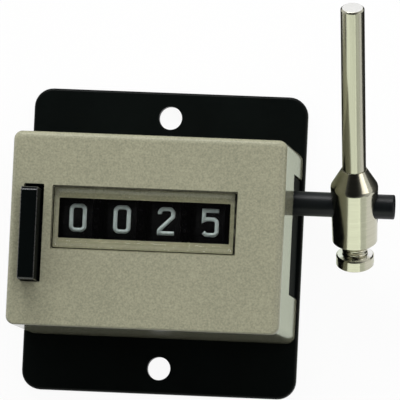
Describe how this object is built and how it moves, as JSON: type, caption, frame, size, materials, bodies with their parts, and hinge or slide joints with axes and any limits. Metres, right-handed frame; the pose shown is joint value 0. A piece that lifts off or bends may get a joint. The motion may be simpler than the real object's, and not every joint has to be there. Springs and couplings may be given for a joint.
{
  "type": "piece counter",
  "caption": "Mechanical piece counter: stroke lever on a sprung drive shaft, geared number wheels behind a window, sliding reset button, plastic cover on a flat mounting plate",
  "frame": {"origin": "the middle of the mounting plate's back face", "axes": "+Z out of the display, +Y towards the top of the figures, +X towards the drive shaft and its lever"},
  "size_m": [0.0591, 0.0611, 0.0325],
  "materials": {
    "black_paint": "satin black paint on steel sheet",
    "black_plastic": "moulded black plastic",
    "cover_plastic": "fine textured beige-grey plastic",
    "clear_plastic": "clear moulded plastic",
    "wheel_plastic": "black moulded plastic with pale printed figures",
    "white_plastic": "natural moulded plastic",
    "bright_steel": "ground steel",
    "black_steel": "blackened steel",
    "bush_bronze": "sintered bronze, dark with oil",
    "zinc_steel": "zinc plated steel",
    "spring_steel": "drawn spring wire",
    "nickel_plate": "bright nickel plated steel"
  },
  "bodies": {
    "case": {"mounting_plate": "black_paint", "chassis": "black_plastic", "cover": "cover_plastic", "window_lens": "clear_plastic", "wheel_axle": "bright_steel", "pinion_axle": "bright_steel", "shaft_bush": "bush_bronze", "detent_spring": "spring_steel", "return_spring": "spring_steel", "button_spring": "spring_steel", "chassis_screw_1": "zinc_steel", "chassis_screw_2": "zinc_steel", "cover_screw_1": "zinc_steel", "cover_screw_2": "zinc_steel"},
    "lever_drive": {"drive_shaft": "black_steel", "drive_crank": "zinc_steel", "pawl_pin": "bright_steel", "lever_clamp": "nickel_plate", "lever_rod": "nickel_plate", "clamp_screw": "nickel_plate"},
    "pawl": {"drive_pawl": "zinc_steel"},
    "button": {"reset_button": "black_plastic"},
    "comb": {"reset_shaft": "bright_steel", "reset_comb": "zinc_steel", "reset_arm": "zinc_steel"},
    "wheel_units": {"units_wheel": "wheel_plastic"},
    "wheel_tens": {"tens_wheel": "wheel_plastic"},
    "wheel_hundreds": {"hundreds_wheel": "wheel_plastic"},
    "wheel_thousands": {"thousands_wheel": "wheel_plastic"},
    "pinion_tens": {"transfer_pinion_1": "white_plastic"},
    "pinion_hundreds": {"transfer_pinion_2": "white_plastic"},
    "pinion_thousands": {"transfer_pinion_3": "white_plastic"}
  },
  "joints": [
    {"name": "lever_stroke", "type": "hinge", "parent": "case", "child": "lever_drive", "pos_m": [0.02, 0.00655, 0.011], "axis": [-1, 0, 0], "range_deg": [0, 45], "stiffness_Nm_per_rad": 0.02, "springref_deg": -20.05},
    {"name": "pawl_swing", "type": "hinge", "parent": "lever_drive", "child": "pawl", "pos_m": [0.0142, 0.00459, 0.00717], "axis": [-1, 0, 0], "range_deg": [-45, 0]},
    {"name": "reset_press", "type": "slide", "parent": "case", "child": "button", "axis": [0, 0, -1], "range_m": [0, 0.003], "stiffness_N_per_m": 400, "springref_m": -0.002, "deforming": ["button_spring"]},
    {"name": "comb_swing", "type": "hinge", "parent": "case", "child": "comb", "pos_m": [0, 0.0105, 0.0055], "axis": [1, 0, 0], "range_deg": [0, 15]},
    {"name": "units_turn", "type": "hinge", "parent": "case", "child": "wheel_units", "pos_m": [0.0098, 0.00195, 0.0164], "axis": [-1, 0, 0], "continuous": true},
    {"name": "tens_turn", "type": "hinge", "parent": "case", "child": "wheel_tens", "pos_m": [0.0029, 0.00195, 0.0164], "axis": [-1, 0, 0], "continuous": true},
    {"name": "hundreds_turn", "type": "hinge", "parent": "case", "child": "wheel_hundreds", "pos_m": [-0.0041, 0.00195, 0.0164], "axis": [-1, 0, 0], "continuous": true},
    {"name": "thousands_turn", "type": "hinge", "parent": "case", "child": "wheel_thousands", "pos_m": [-0.011, 0.00195, 0.0164], "axis": [-1, 0, 0], "continuous": true},
    {"name": "pinion_1_turn", "type": "hinge", "parent": "case", "child": "pinion_tens", "pos_m": [0.0064, -0.00905, 0.0164], "axis": [-1, 0, 0], "continuous": true},
    {"name": "pinion_2_turn", "type": "hinge", "parent": "case", "child": "pinion_hundreds", "pos_m": [-0.0006, -0.00905, 0.0164], "axis": [-1, 0, 0], "continuous": true},
    {"name": "pinion_3_turn", "type": "hinge", "parent": "case", "child": "pinion_thousands", "pos_m": [-0.0075, -0.00905, 0.0164], "axis": [-1, 0, 0], "continuous": true}
  ],
  "couplings": [
    {"joint": "pawl_swing", "follows": "lever_stroke", "ratio": -1},
    {"joint": "comb_swing", "follows": "reset_press", "rad_per_m": 87.2},
    {"joint": "tens_turn", "follows": "units_turn", "ratio": 0.1},
    {"joint": "hundreds_turn", "follows": "units_turn", "ratio": 0.01},
    {"joint": "thousands_turn", "follows": "units_turn", "ratio": 0.001},
    {"joint": "pinion_1_turn", "follows": "units_turn", "ratio": -0.25},
    {"joint": "pinion_2_turn", "follows": "units_turn", "ratio": -0.025},
    {"joint": "pinion_3_turn", "follows": "units_turn", "ratio": -0.0025}
  ]
}
